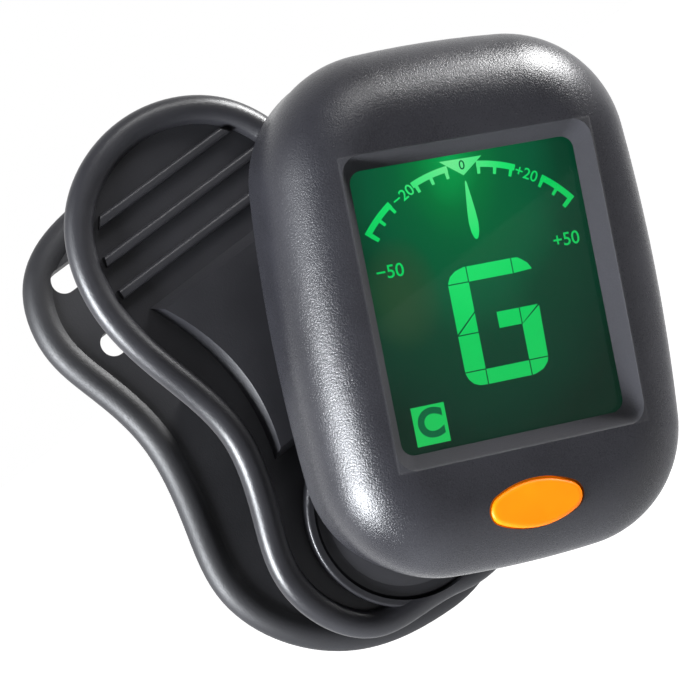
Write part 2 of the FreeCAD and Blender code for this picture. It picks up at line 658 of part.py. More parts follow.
def battery_tray():
    body = new_body("battery_tray", HEAD)
    rise = "Sizes.cell_z"
    wall = "Sizes.cell_radius + Sizes.cell_gap + Sizes.tray_wall"
    front = "(%s - 2 * Sizes.contact_thick - Sizes.tray_floor)" % CELL_FRONT
    cup = depth_sketch(body, "tray_outline", TRAY_BACK, rise)
    draw_circle(cup, wall)
    pad(body, cup, "%s - %s" % (TRAY_BACK, front), "tray_block")
    hollow = depth_sketch(body, "tray_hollow", TRAY_BACK, rise)
    draw_circle(hollow, "Sizes.cell_radius + Sizes.cell_gap")
    pocket(body, hollow, "%s - %s - Sizes.tray_floor" % (TRAY_BACK, front), "tray_cup")
    slot = depth_sketch(body, "contact_slot", TRAY_BACK,
                        rise + " + Sizes.cell_radius + Sizes.tray_wall / 2")
    draw_rounded_box(slot, "Sizes.contact_width + 0.4", "2 * Sizes.tray_wall + 1", "0.2")
    pocket(body, slot, "%s - %s - Sizes.tray_floor" % (TRAY_BACK, front), "tray_slot")
    return body


def coin_cell():
    """A coin cell: the wide can and, towards the front, the narrower cap of its negative pole."""
    back, front = number(CELL_BACK), number(CELL_FRONT)
    centre = Vector(0, front, size("cell_z"))
    cap = rod(centre, DEEP, size("cell_radius") - 1.2, 1)
    can = rod(centre + DEEP * 0.4, DEEP, size("cell_radius"), back - front - 0.4)
    rim = [edge for edge in can.Edges if abs(edge.BoundBox.YMin - back) < 0.01]
    return solid_piece("coin_cell", can.makeFillet(0.3, rim).fuse(cap), HEAD)


def contacts():
    """The leaf under the cell, and the tab that bears on the side of its can."""
    thick, wide = size("contact_thick"), size("contact_width")
    floor = number(CELL_FRONT) - thick
    z = size("cell_z")
    leaf = block(-wide / 2, wide / 2, floor - 0.02, floor + thick - 0.02, z - 6, z + 6)
    solid_piece("negative_contact", leaf, HEAD)
    side = z + size("cell_radius") + 0.02
    front, back = number(CELL_FRONT) + 0.2, number(TRAY_BACK) - 0.3
    tab = block(-wide / 2, wide / 2, front, back, side, side + thick)
    foot = block(-wide / 2, wide / 2, front, front + thick, side, side + 1.2)
    solid_piece("positive_contact", tab.fuse(foot), HEAD)


battery_tray()
coin_cell()
contacts()

# ------------------------------------------------------------------ swivel


def tangent_web(start, end, centre, radius, x0, x1):
    """A web from a straight foot, low end first, to a round eye that its flanks meet at a tangent.

    The points are (y, z) pairs. The web is x0 to x1 thick."""
    flanks = []
    for foot, outer in ((start, min), (end, max)):
        dy, dz = foot[0] - centre[0], foot[1] - centre[1]
        swing = math.acos(radius / math.hypot(dy, dz))
        angles = [math.atan2(dz, dy) + side * swing for side in (-1, 1)]
        touches = [(centre[0] + radius * math.cos(a), centre[1] + radius * math.sin(a)) for a in angles]
        flanks.append(outer(touches, key=lambda touch: touch[1]))
    outline = (start, flanks[0], flanks[1], end, start)
    wire = Part.makePolygon([Vector(x0, y, z) for y, z in outline])
    web = Part.Face(wire).extrude(Vector(x1 - x0, 0, 0))
    return web.fuse(rod(Vector(x0, centre[0], centre[1]), ACROSS, radius, x1 - x0))


def swivel_base():
    """The turntable: a disc in the socket, a hub through its floor, a dome and two pin ears."""
    radius = size("socket_radius") - size("disc_gap")
    front, back = -size("disc_front"), size("socket_sink") - size("disc_gap")
    disc = rod(Vector(0, front, 0), DEEP, radius, back - front)
    edge = [e for e in disc.Edges if abs(e.BoundBox.YMin - front) < 0.01 and e.BoundBox.XLength > 1]
    disc = disc.makeChamfer(0.3, edge)
    hub_back = size("seat_depth") + size("disc_gap")
    hub = rod(Vector(0, back - 0.2, 0), DEEP, size("hub_radius"), hub_back - back + 0.2)
    rise, spread = size("dome_rise"), size("dome_radius")
    ball = (spread ** 2 + rise ** 2) / (2 * rise)
    dome = Part.makeSphere(ball, Vector(0, front - rise + ball, 0))
    dome = dome.common(rod(Vector(0, front - 2 * rise, 0), DEEP, spread, 2 * rise + 0.2))
    shape = disc.fuse(hub).fuse(dome)
    pin_x, pin_y = size("tilt_pin_offset"), -size("tilt_pin_rise")
    inner = size("knuckle_half") + size("ear_gap")
    eye = size("ear_radius")
    for low in (inner, -inner - size("ear_thick")):
        ear = rod(Vector(pin_x, pin_y, low), UPWARD, eye, size("ear_thick"))
        foot = block(pin_x - eye, pin_x + eye, pin_y, front + 0.3, low, low + size("ear_thick"))
        shape = shape.fuse(ear).fuse(foot)
    reach = inner + size("ear_thick")
    hollow = rod(Vector(pin_x, pin_y, -inner), UPWARD, size("knuckle_radius") + 0.15, 2 * inner)
    pin_hole = rod(Vector(pin_x, pin_y, -reach - 1), UPWARD, size("tilt_pin_radius"), 2 * reach + 2)
    screw_hole = rod(Vector(0, front + 0.4, 0), DEEP, size("swivel_screw_radius"), hub_back + 2)
    return solid_piece("swivel_base", shape.cut(hollow).cut(pin_hole).cut(screw_hole), SWIVEL)


def tilt_pin():
    reach = size("knuckle_half") + size("ear_gap") + size("ear_thick")
    start = Vector(size("tilt_pin_offset"), -size("tilt_pin_rise"), -reach)
    pin = rod(start, UPWARD, size("tilt_pin_radius"), 2 * reach)
    ends = [e for e in pin.Edges if e.BoundBox.ZLength < 0.01]
    return solid_piece("tilt_pin", pin.makeChamfer(0.2, ends), SWIVEL)


def swivel_fastener():
    """The washer and screw that hold the turntable down from the far side of the socket floor."""
    seat = size("seat_depth") + size("disc_gap")
    thick = size("washer_thick")
    washer = rod(Vector(0, seat, 0), DEEP, size("washer_radius"), thick)
    washer = washer.cut(rod(Vector(0, seat - 1, 0), DEEP, size("swivel_screw_radius") + 0.05, 3))
    solid_piece("swivel_washer", washer, SWIVEL)
    shank_front = -size("disc_front") + 0.6
    back = seat + thick
    shank = rod(Vector(0, shank_front, 0), DEEP, size("swivel_screw_radius") - 0.02,
                back - shank_front + 0.1)
    head = rod(Vector(0, back, 0), DEEP, size("swivel_head_radius"), size("swivel_head_depth"))
    slot = block(-2, 2, back + size("swivel_head_depth") - 0.25, back + 2, -0.2, 0.2)
    solid_piece("swivel_screw", shank.fuse(head).cut(slot), SWIVEL)


swivel_base()
tilt_pin()
swivel_fastener()

# ------------------------------------------------------------------ clip levers

STATIONS = ("jaw_shoulder", "jaw", "flank", "waist", "rise", "grip", "grip_shoulder")


def lever_wire(lever, inset, level):
    """A lever's closed hourglass outline, moved in by an inset along its own normals."""
    right = [(size("%s_%s_half" % (lever, name)), size("%s_%s_height" % (lever, name)))
             for name in STATIONS]
    left = [(-x, z) for x, z in reversed(right)]
    around = [(0, size(lever + "_jaw_end"))] + right + [(0, size(lever + "_grip_end"))] + left
    points = []
    for k, (x, z) in enumerate(around):
        (x0, z0), (x1, z1) = around[k - 1], around[(k + 1) % len(around)]
        along = math.hypot(x1 - x0, z1 - z0)
        points.append(Vector(x - inset * (z1 - z0) / along, level, z + inset * (x1 - x0) / along))
    curve = Part.BSplineCurve()
    curve.interpolate(points, PeriodicFlag=True)
    return Part.Wire([curve.toShape()])


def lever_slab(lever, inset, front, back):
    return Part.Face(lever_wire(lever, inset, front)).extrude(Vector(0, back - front, 0))


def bead(lever, level, radius):
    """The round bead that runs all the way round a lever's edge."""
    path = lever_wire(lever, radius, level)
    edge = path.Edges[0]
    start = edge.valueAt(edge.FirstParameter)
    along = edge.tangentAt(edge.FirstParameter)
    ring = Part.Wire([Part.makeCircle(radius, start, along)])
    return path.makePipeShell([ring], True, False)


def pierced_ears(inner, outer, foot_y, centre, radius, bore, low, high):
    """A pair of hinge cheeks, one each side, and the bore that goes through them."""
    ears = []
    for x0 in (inner, -outer):
        web = tangent_web((foot_y, low), (foot_y, high), centre, radius, x0, x0 + outer - inner)
        ears.append(web)
    hole = rod(Vector(-outer - 1, centre[0], centre[1]), ACROSS, bore, 2 * outer + 2)
    return ears, hole


def cross_rib(lever, z, front, back, top, margin):
    """One rib across a finger grip, with softened edges at its top, kept inside the bead."""
    wide = size("back_grip_half")
    rib = block(-wide, wide, front, back, z, z + size("rib_width"))
    tops = [e for e in rib.Edges if abs(e.BoundBox.YMin - top) < 0.01 and e.BoundBox.XLength > 1
            and e.BoundBox.YLength < 0.01]
    rib = rib.makeFillet(size("rib_round"), tops)
    return rib.common(lever_slab(lever, margin, front - 1, back + 1))


def raised_panel():
    """The smooth panel below the ribs, with bevelled sides that follow the waist."""
    base_y = RIM_Y + size("plate_front") + 0.1
    top_y = RIM_Y + size("plate_front") - size("panel_rise")

    def loop(y, inset):
        top, foot = size("panel_top") - inset, size("panel_foot") + inset
        side = (
            (size("panel_foot_half") - inset, foot),
            (size("panel_waist_half") - inset, size("panel_waist_height")),
            (size("panel_top_half") - inset, top),
        )
        right = Part.BSplineCurve()
        right.interpolate([Vector(x, y, z) for x, z in side])
        left = Part.BSplineCurve()
        left.interpolate([Vector(-x, y, z) for x, z in reversed(side)])
        (foot_x, foot_z), (top_x, top_z) = side[0], side[-1]
        over = Part.makeLine(Vector(top_x, y, top_z), Vector(-top_x, y, top_z))
        under = Part.makeLine(Vector(-foot_x, y, foot_z), Vector(foot_x, y, foot_z))
        return Part.Wire([right.toShape(), over, left.toShape(), under])

    return Part.makeLoft([loop(base_y, 0), loop(top_y, size("panel_bevel"))], True, True)


def front_lever():
    radius = size("bead_radius")
    front, back = RIM_Y + size("plate_front"), RIM_Y + size("plate_back")
    shape = lever_slab("front", radius, front, back).fuse(bead("front", RIM_Y, radius))
    margin = 2 * radius + size("dish_margin")
    for step in range(3):
        z = size("rib_low") + step * size("rib_pitch")
        top = front - size("rib_rise")
        rib = cross_rib("front", z, top, front + 0.2, top, margin)
        shape = shape.fuse(rib)
    shape = shape.fuse(raised_panel())
    lip = size("socket_radius") + size("socket_lip")
    lip_front = RIM_Y - size("lip_rise")
    collar = rod(Vector(0, lip_front, 0), DEEP, lip, front - lip_front + 0.2)
    rims = [e for e in collar.Edges if abs(e.BoundBox.YMax - lip_front) < 0.01]
    shape = shape.fuse(collar.makeFillet(0.35, rims))
    floor = RIM_Y + size("socket_sink")
    socket = rod(Vector(0, lip_front - 3, 0), DEEP, size("socket_radius"), floor - lip_front + 3)
    hub_hole = rod(Vector(0, floor - 1, 0), DEEP, size("hub_radius") + size("disc_gap"), 5)
    seat = RIM_Y + size("seat_depth")
    washer_seat = rod(Vector(0, seat, 0), DEEP, size("washer_radius") + 0.3, 5)
    shape = shape.cut(socket).cut(hub_hole).cut(washer_seat)
    outer = size("cheek_outer")
    ears, hole = pierced_ears(outer - size("cheek_thick"), outer, back - 0.5, (PIVOT.y, PIVOT.z),
                              size("cheek_radius"), size("pivot_radius"), size("cheek_low"),
                              size("cheek_high"))
    for ear in ears:
        shape = shape.fuse(ear)
    return solid_piece("front_lever", shape.cut(hole))


def back_lever():
    lip = size("back_lip_radius")
    level = PIVOT.y + size("back_behind_pivot")
    half = size("back_half_plate")
    shape = lever_slab("back", lip, level - half, level + half).fuse(bead("back", level, lip))
    reach, tall = size("slot_reach"), size("slot_height")
    for z in (size("slot_low"), size("slot_high")):
        slot = block(-reach, reach, level - 5, level + 5, z - tall / 2, z + tall / 2)
        corners = [e for e in slot.Edges if e.BoundBox.YLength > 1]
        shape = shape.cut(slot.makeFillet(tall / 2 - 0.05, corners))
    middle = (size("slot_low") + size("slot_high") - size("rib_width")) / 2
    top = level + half + size("back_rib_rise")
    for step in range(-1, 2):
        z = middle + step * size("back_rib_pitch")
        rib = cross_rib("back", z, level + half - 0.2, top, top, 2 * lip + size("dish_margin"))
        shape = shape.fuse(rib)
    outer = size("cheek_outer") - size("cheek_thick") - size("cheek_gap")
    inner = outer - size("cheek_thick")
    ears, hole = pierced_ears(inner, outer, level - half + 0.5, (PIVOT.y, PIVOT.z),
                              size("cheek_radius") - 0.2, size("pivot_radius") + size("running_gap"),
                              size("cheek_low"), size("cheek_high"))
    for ear in ears:
        shape = shape.fuse(ear)
    return solid_piece("back_lever", shape.cut(hole), BACK)


def pivot_pin():
    reach = size("cheek_outer") + 0.3
    pin = rod(Vector(-reach, PIVOT.y, PIVOT.z), ACROSS, size("pivot_radius"), 2 * reach)
    ends = [e for e in pin.Edges if e.BoundBox.XLength < 0.01]
    return solid_piece("pivot_pin", pin.makeChamfer(0.25, ends))


def torsion_spring():
    """A coil round the pivot pin with one leg along each lever."""
    wire, coil, pitch = size("wire_radius"), size("coil_radius"), size("coil_pitch")
    length = pitch * size("coil_turns")
    helix = Part.makeHelix(pitch, length, coil)
    start = Vector(coil, 0, 0)
    ring = Part.Wire([Part.makeCircle(wire, start, Vector(0, 1, pitch / (2 * math.pi * coil)))])
    body = Part.Wire(helix.Edges).makePipeShell([ring], True, True)
    turn = Placement(PIVOT + Vector(-length / 2, 0, 0), Rotation(ACROSS, 0))
    # the helix runs along its own z: lay z along X, its x along -Y
    lay = Rotation(Vector(0, -1, 0), Vector(0, 0, -1), Vector(1, 0, 0), "ZXY")
    body.Placement = turn * Placement(Vector(), lay)
    shape = body
    reach = size("leg_reach")
    front_end = Vector(0, RIM_Y + size("plate_back") + wire + 0.15, PIVOT.z + reach)
    slope = math.tan(math.radians(size("hinge_rest")))
    back_face = PIVOT.y + size("back_behind_pivot") - size("back_half_plate") + reach * slope
    back_end = Vector(0, back_face - wire - 0.25, PIVOT.z + reach)
    for x, end in ((-length / 2, front_end), (length / 2, back_end)):
        side = -1 if end.y < PIVOT.y else 1
        root = Vector(x, PIVOT.y + side * coil, PIVOT.z)
        tip = Vector(x, end.y, end.z)
        leg = rod(root, tip - root, wire, (tip - root).Length)
        ball = Part.makeSphere(wire, root)
        shape = shape.fuse(leg).fuse(ball).fuse(Part.makeSphere(wire, tip))
    return solid_piece("torsion_spring", shape)


front_lever()
back_lever()
pivot_pin()
torsion_spring()

# ------------------------------------------------------------------ jaw pads


def front_pad():
    back = "-1 * Sizes.jaw_half_gap"
    front = "Sizes.plate_back - Sizes.rim_to_grip"
    body = rounded_plate("front_pad", front, back, "Sizes.pad_width", "Sizes.pad_height",
                         "Sizes.pad_corner", "Sizes.pad_z", HERE)
    fillet(body, body.Tip, "Sizes.pad_round", "front_pad_edge", at_depth(-size("jaw_half_gap")))
    return body


def back_pad():
    """A wedge that brings the grip face parallel to the front pad while the jaws are shut."""
    width, height, corner = size("pad_width"), size("pad_height"), size("pad_corner")
    low, high = size("pad_z") - height / 2, size("pad_z") + height / 2
    front = size("jaw_half_gap")
    wedge = block(-width / 2, width / 2, front, front + 12, low, high)
    corners = [e for e in wedge.Edges if e.BoundBox.YLength > 1]
    wedge = wedge.makeFillet(corner, corners)
    rims = [e for e in wedge.Edges if abs(e.BoundBox.YMax - front) < 0.01]
    wedge = wedge.makeFillet(size("pad_round"), rims)
    level = PIVOT.y + size("back_behind_pivot") - size("back_half_plate")
    keep = block(-30, 30, level - 30, level, -60, 60)
    keep.Placement = BACK
    return solid_piece("back_pad", wedge.common(keep))


front_pad()
back_pad()

# ------------------------------------------------------------------ check and write


def check(objects):
    doc.recompute()
    for obj in objects:
        bad = [word for word in obj.State if word in ("Invalid", "Error")]
        if bad:
            raise ValueError("%s is %s" % (obj.Name, ", ".join(bad)))
    for obj in PIECES:
        if obj.Shape.isNull() or not obj.Shape.isValid() or not obj.Shape.Solids:
            raise ValueError(obj.Label + " has no valid solid")
        if any(solid.Volume <= 0 for solid in obj.Shape.Solids):
            raise ValueError(obj.Label + " is inside out")


check(doc.Objects)
os.makedirs("parts", exist_ok=True)
for obj in PIECES:
    obj.Shape.exportStep(os.path.join("parts", obj.Label + ".step"))
    count = len(obj.Shape.Solids)
    print("%-18s %9.2f mm3 %d solid%s" % (obj.Label, obj.Shape.Volume, count, "" if count == 1 else "s"))
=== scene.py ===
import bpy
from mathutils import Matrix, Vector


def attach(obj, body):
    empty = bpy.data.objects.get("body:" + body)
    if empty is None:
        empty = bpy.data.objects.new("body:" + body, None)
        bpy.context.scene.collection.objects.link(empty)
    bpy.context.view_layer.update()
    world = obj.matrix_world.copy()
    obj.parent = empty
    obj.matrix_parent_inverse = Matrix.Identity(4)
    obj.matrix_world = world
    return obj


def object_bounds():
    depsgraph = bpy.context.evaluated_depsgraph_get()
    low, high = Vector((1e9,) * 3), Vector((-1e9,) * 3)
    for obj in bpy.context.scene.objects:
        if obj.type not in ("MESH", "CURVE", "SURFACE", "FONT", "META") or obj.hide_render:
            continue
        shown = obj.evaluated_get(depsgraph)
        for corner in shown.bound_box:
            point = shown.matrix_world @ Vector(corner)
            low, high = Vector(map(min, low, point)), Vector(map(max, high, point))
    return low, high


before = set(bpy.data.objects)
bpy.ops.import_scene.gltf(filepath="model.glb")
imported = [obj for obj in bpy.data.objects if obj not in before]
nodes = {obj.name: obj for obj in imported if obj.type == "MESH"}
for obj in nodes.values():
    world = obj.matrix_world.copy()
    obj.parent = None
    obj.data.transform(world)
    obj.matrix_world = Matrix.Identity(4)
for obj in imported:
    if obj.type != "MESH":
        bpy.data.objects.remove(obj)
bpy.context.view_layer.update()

import math

import bpy
from mathutils import Matrix, Vector

MM = 0.001

# ---------------------------------------------------------------- head case
# The case is two charcoal ABS shells moulded with a fine spark-eroded grain, closed by four screws
# from behind, with a sliding battery door. The head sits turned and leaned on its tilt joint.
# Its frame has x across the display, y into the case and z up the display.
HEAD_TURN, HEAD_LEAN = math.radians(26.15), math.radians(-3.5)
TILT_PIN = Vector((5.86, -5.67, 0)) * MM
SOCKET = Vector((0, -6.0, 0)) * MM
PIN_TO_SCREEN = Vector((0, -18.2, 20.6)) * MM
SWIVEL = Matrix.Translation(SOCKET) @ Matrix.Rotation(HEAD_TURN, 4, "Y")
HEAD = (SWIVEL @ Matrix.Translation(TILT_PIN) @ Matrix.Rotation(HEAD_LEAN, 4, "Z")
        @ Matrix.Translation(PIN_TO_SCREEN))


class Wire:
    """The output of a shader node. Arithmetic on it adds Math nodes."""

    def __init__(self, finish, socket):
        self.finish, self.socket = finish, socket

    def _math(self, operation, first, second):
        return self.finish.node("ShaderNodeMath", {"operation": operation}, {0: first, 1: second})

    def __add__(self, other):
        return self._math("ADD", self, other)

    def __sub__(self, other):
        return self._math("SUBTRACT", self, other)

    def __mul__(self, other):
        return self._math("MULTIPLY", self, other)

    def __pow__(self, other):
        return self._math("POWER", self, other)

    __radd__ = __add__
    __rmul__ = __mul__


class Finish:
    """A material: one Principled shader, and the nodes that feed it."""

    def __init__(self, name, **constants):
        self.material = bpy.data.materials.new(name)
        self.material.use_nodes = True
        self.tree = self.material.node_tree
        self.shader = self.tree.nodes["Principled BSDF"]
        self.set(**constants)

    def put(self, socket, value):
        if isinstance(value, Wire):
            self.tree.links.new(value.socket, socket)
        elif isinstance(value, (tuple, list)) and socket.type == "RGBA":
            socket.default_value = (*value, 1)[:4]
        else:
            socket.default_value = value

    def node(self, kind, settings=None, sockets=None, out=0):
        made = self.tree.nodes.new(kind)
        for key, value in (settings or {}).items():
            if key == "stops":
                ramp = made.color_ramp.elements
                while len(ramp) < len(value):
                    ramp.new(0.5)
                for element, (place, colour) in zip(ramp, value):
                    element.position, element.color = place, (*colour, 1)
            else:
                setattr(made, key, value)
        for key, value in (sockets or {}).items():
            self.put(made.inputs[key], value)
        return Wire(self, made.outputs[out])

    def set(self, **values):
        for name, value in values.items():
            self.put(self.shader.inputs[name.replace("_", " ")], value)
        return self

    def place(self):
        return self.node("ShaderNodeTexCoord", out="Object")

    def noise(self, scale, detail=2.0, rough=0.5, where=None):
        return self.node("ShaderNodeTexNoise", None, {
            "Vector": where or self.place(), "Scale": scale, "Detail": detail, "Roughness": rough})

    def ramp(self, value, *stops):
        return self.node("ShaderNodeValToRGB", {"stops": stops}, {0: value})

    def span(self, value, low, high, start=0.0, end=1.0):
        return self.node("ShaderNodeMapRange", None, {0: value, 1: low, 2: high, 3: start, 4: end})

    def mix(self, share, first, second):
        return self.node("ShaderNodeMix", {"data_type": "RGBA"}, {0: share, 6: first, 7: second}, out=2)

    def bump(self, height, depth, strength=1.0):
        return self.node("ShaderNodeBump", None, {
            "Height": height, "Distance": depth, "Strength": strength})


def dress(piece, finish, body=None):
    """Gives a piece its finish, and a new piece its body."""
    piece.data.materials.clear()
    piece.data.materials.append(finish.material)
    if body:
        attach(piece, body)
    return piece


def moulded(name, colour, rough, grain, depth, coat=0.0):
    """Moulded plastic: a fine pebbled grain, and slow drifts of tone and gloss."""
    finish = Finish(name, IOR=1.5, Coat_Weight=coat, Coat_Roughness=0.2)
    pebble = finish.noise(1 / grain, 3.0, 0.6)
    drift = finish.noise(90, 3.0, 0.6)
    finish.set(
        Base_Color=finish.mix(finish.span(drift, 0.3, 0.7), [c * 0.85 for c in colour],
                              [min(1, c * 1.2) for c in colour]),
        Roughness=finish.span(pebble + drift * 0.6, 0.5, 1.1, rough - 0.07, rough + 0.07),
        Normal=finish.bump(pebble, depth))
    return finish


def in_head(finish):
    """Object coordinates turned into the head's own frame."""
    back = HEAD.inverted()
    return finish.node("ShaderNodeMapping", {"vector_type": "POINT"}, {
        "Vector": finish.place(), "Location": back.to_translation(), "Rotation": back.to_euler()})


charcoal = moulded("charcoal_case", (0.019, 0.019, 0.023), 0.29, 0.17 * MM, 0.042 * MM)
# The slope down to the screen is much rougher than the shell around it. Each pair is the half
# width where the rough finish ends and where the shell's own begins, in millimetres.
SLOPE_SIDES, SLOPE_ENDS, SLOPE_ROUGHER = (13.0, 13.3), (15.2, 15.5), 0.66
along = charcoal.node("ShaderNodeSeparateXYZ", None, {0: in_head(charcoal)})
across, upward = along * (1 / MM), Wire(charcoal, along.socket.node.outputs[2]) * (1 / MM)
slope = (charcoal.span(across * across, SLOPE_SIDES[0] ** 2, SLOPE_SIDES[1] ** 2, 1, 0)
         * charcoal.span(upward * upward, SLOPE_ENDS[0] ** 2, SLOPE_ENDS[1] ** 2, 1, 0))
gloss = Wire(charcoal, charcoal.shader.inputs["Roughness"].links[0].from_socket)
charcoal.set(Roughness=gloss + slope * SLOPE_ROUGHER)
for name in ("front_shell", "rear_shell", "battery_door"):
    dress(nodes[name], charcoal)

# ---------------------------------------------------------------- screws and bare metal
# The screws, pins, washer, spring and cell are plated steel; the contacts and piezo disc are brass.


def metal(name, colour, rough, brushed):
    finish = Finish(name, Metallic=1.0)
    streak = finish.node("ShaderNodeMapping", None, {"Vector": finish.place(), "Scale": brushed})
    lines = finish.noise(1200, 4.0, 0.6, streak)
    finish.set(
        Base_Color=finish.mix(lines, [c * 0.85 for c in colour], colour),
        Roughness=finish.span(lines, 0.3, 0.7, rough - 0.08, rough + 0.08),
        Normal=finish.bump(lines, 0.002 * MM))
    return finish


steel = metal("plated_steel", (0.60, 0.60, 0.61), 0.28, (0.2, 1, 1))
brass = metal("contact_brass", (0.78, 0.58, 0.26), 0.30, (1, 0.2, 1))
for name in ("case_screws", "tilt_pin", "swivel_washer", "swivel_screw", "pivot_pin", "torsion_spring",
             "coin_cell", "tact_switch"):
    dress(nodes[name], steel)
for name in ("piezo_disc", "negative_contact", "positive_contact"):
    dress(nodes[name], brass)

# ---------------------------------------------------------------- display
# A clear acrylic lens over a negative liquid crystal: the ground is nearly black and the lit
# symbols let the green backlight through. The lamp stands behind the top edge, so it fades downwards.
lens = Finish("clear_lens", Base_Color=(1, 1, 1), Roughness=0.03, IOR=1.45, Transmission_Weight=1.0)
dress(nodes["display_lens"], lens)


def lamp_glow(finish):
    """How far a point is from the lamp behind the top of the screen, in millimetres."""
    across = finish.node("ShaderNodeSeparateXYZ", None, {0: in_head(finish)})
    upward = Wire(finish, across.socket.node.outputs[2])
    dx, dz = (across + 1.2 * MM) * (1 / MM), (upward - 14.5 * MM) * (1 / MM)
    return (dx * dx * 2.5 + dz * dz) ** 0.5, across * (1 / MM), upward * (1 / MM)


def backlit(name, stops, strength, warm=0.0):
    finish = Finish(name, Base_Color=(0.0, 0.003, 0.002), Roughness=0.4, Specular_IOR_Level=0.05)
    distance, across, upward = lamp_glow(finish)
    mottle = finish.noise(160, 2.0, 0.5)
    tone = finish.ramp(finish.span(distance + mottle * 3 - 1.5, 0, 30), *stops)
    if warm:
        spot = (across + 8.5) * (across + 8.5) * 0.06 + (upward - 1.5) * (upward - 1.5) * 0.03
        tone = finish.mix(finish.span(spot, 0, 1, warm, 0), tone, (0.024, 0.075, 0.030))
    finish.set(Emission_Color=tone, Emission_Strength=strength)
    return finish


ground = backlit("screen_ground", (
    (0.00, (0.0, 0.40, 0.090)), (0.08, (0.0, 0.30, 0.062)), (0.18, (0.0, 0.174, 0.042)),
    (0.30, (0.0, 0.122, 0.038)), (0.47, (0.0, 0.092, 0.035)), (0.62, (0.0, 0.050, 0.021)),
    (0.85, (0.0, 0.032, 0.015)), (1.00, (0.0, 0.018, 0.008))), 1.0, 0.75)
symbol = backlit("lit_symbol", (
    (0.00, (0.20, 0.90, 0.32)), (0.12, (0.10, 0.85, 0.26)), (0.30, (0.01, 0.80, 0.16)),
    (0.60, (0.0, 0.62, 0.11)), (1.00, (0.01, 0.55, 0.10))), 1.0)
dress(nodes["lcd_glass"], ground)

LAYER = 0.975 * MM


def flat_outline(name, loops):
    """A thin filled shape from closed loops of (x, z) millimetres; inner loops are holes."""
    curve = bpy.data.curves.new(name, "CURVE")
    curve.dimensions = "2D"
    curve.fill_mode = "FRONT"
    for loop in loops:
        spline = curve.splines.new("POLY")
        spline.points.add(len(loop) - 1)
        for point, (x, z) in zip(spline.points, loop):
            point.co = (x * MM, z * MM, 0, 1)
        spline.use_cyclic_u = True
    shape = bpy.data.objects.new(name, curve)
    bpy.context.scene.collection.objects.link(shape)
    return shape


def to_screen(shape, finish, depth=LAYER, spot=(0, 0), turn=0.0):
    """Makes a flat shape a mesh and lays it on the screen, facing the viewer."""
    bpy.ops.object.select_all(action="DESELECT")
    shape.select_set(True)
    bpy.context.view_layer.objects.active = shape
    bpy.ops.object.convert(target="MESH")
    shape = bpy.context.view_layer.objects.active
    stand = Matrix.Rotation(math.radians(90), 4, "X")
    at = Matrix.Translation((spot[0] * MM, depth, spot[1] * MM))
    shape.data.transform(HEAD @ at @ stand @ Matrix.Rotation(math.radians(turn), 4, "Z"))
    shape.matrix_world = Matrix.Identity(4)
    return dress(shape, finish, "head")


def words(name, body, tall, spot, turn=0.0, finish=None, depth=LAYER, bold=0.012):
    bpy.ops.object.text_add()
    text = bpy.context.object
    text.name = name
    text.data.name = name
    text.data.body = body
    text.data.align_x, text.data.align_y = "CENTER", "CENTER"
    text.data.size = tall * 1.37 * MM
    text.data.offset = bold * tall * MM
    return to_screen(text, finish or symbol, depth, spot, turn)


def polar(radius, degrees, centre=(0.05, -1.1)):
    a = math.radians(degrees)
    return centre[0] + radius * math.sin(a), centre[1] + radius * math.cos(a)


# The cents scale: four arc bands with ticks that hang inwards every ten cents.
SCALE_OUT, SCALE_IN, TICK_IN, TICK_STEP = 14.35, 13.72, 13.05, 7.15
for side in (-1, 1):
    for first, last in ((1, 3), (5, 7)):
        low, high = first * TICK_STEP - 0.9, last * TICK_STEP + 1.6 - first * 0.14
        steps = 14
        angles = [side * (low + (high - low) * k / steps) for k in range(steps + 1)]
        band = [polar(SCALE_OUT, a) for a in angles] + [polar(SCALE_IN, a) for a in reversed(angles)]
        loops = [band]
        for tick in range(first, last + 1):
            at, wide = side * tick * TICK_STEP, 0.75 if tick < 7 else 1.0
            deep = TICK_IN if tick < 7 else TICK_IN - 0.25
            loops.append([polar(SCALE_IN + 0.01, at - wide), polar(SCALE_IN + 0.01, at + wide),
                          polar(deep, at + wide * 0.9), polar(deep, at - wide * 0.9)])
        where = "left" if side < 0 else "right"
        for k, loop in enumerate(loops):
            to_screen(flat_outline("scale_%s_%d_%d" % (where, first, k), [loop]), symbol)

words("cents_minus_20", "\u221220", 1.15, polar(13.75, -28.3), 28.3)
words("cents_plus_20", "+20", 1.15, polar(13.75, 28.3), -28.3)
words("cents_minus_50", "\u221250", 1.35, (-9.3, 3.9))
words("cents_plus_50", "+50", 1.35, (9.45, 3.85))

# The in-tune triangle with its zero, and the needle's leaf below it.
to_screen(flat_outline("zero_triangle", [[(-2.2, 13.65), (2.3, 13.6), (0.08, 11.95)]]), symbol)
dark_ink = Finish("dark_ink", Base_Color=(0.0, 0.01, 0.006), Roughness=0.4, Specular_IOR_Level=0.05,
                  Emission_Color=(0.0, 0.12, 0.04), Emission_Strength=1.0)
words("zero_figure", "0", 0.95, (0.08, 12.95), 0, dark_ink, LAYER - 0.01 * MM)
needle_half = ((11.40, 0.04), (11.2, 0.10), (9.8, 0.27), (8.3, 0.43), (7.2, 0.50), (6.3, 0.42),
               (5.75, 0.25), (5.55, 0.10))
needle = [(0.15 + w, z) for z, w in needle_half] + [(0.15 - w, z) for z, w in reversed(needle_half)]
to_screen(flat_outline("needle", [needle]), symbol)

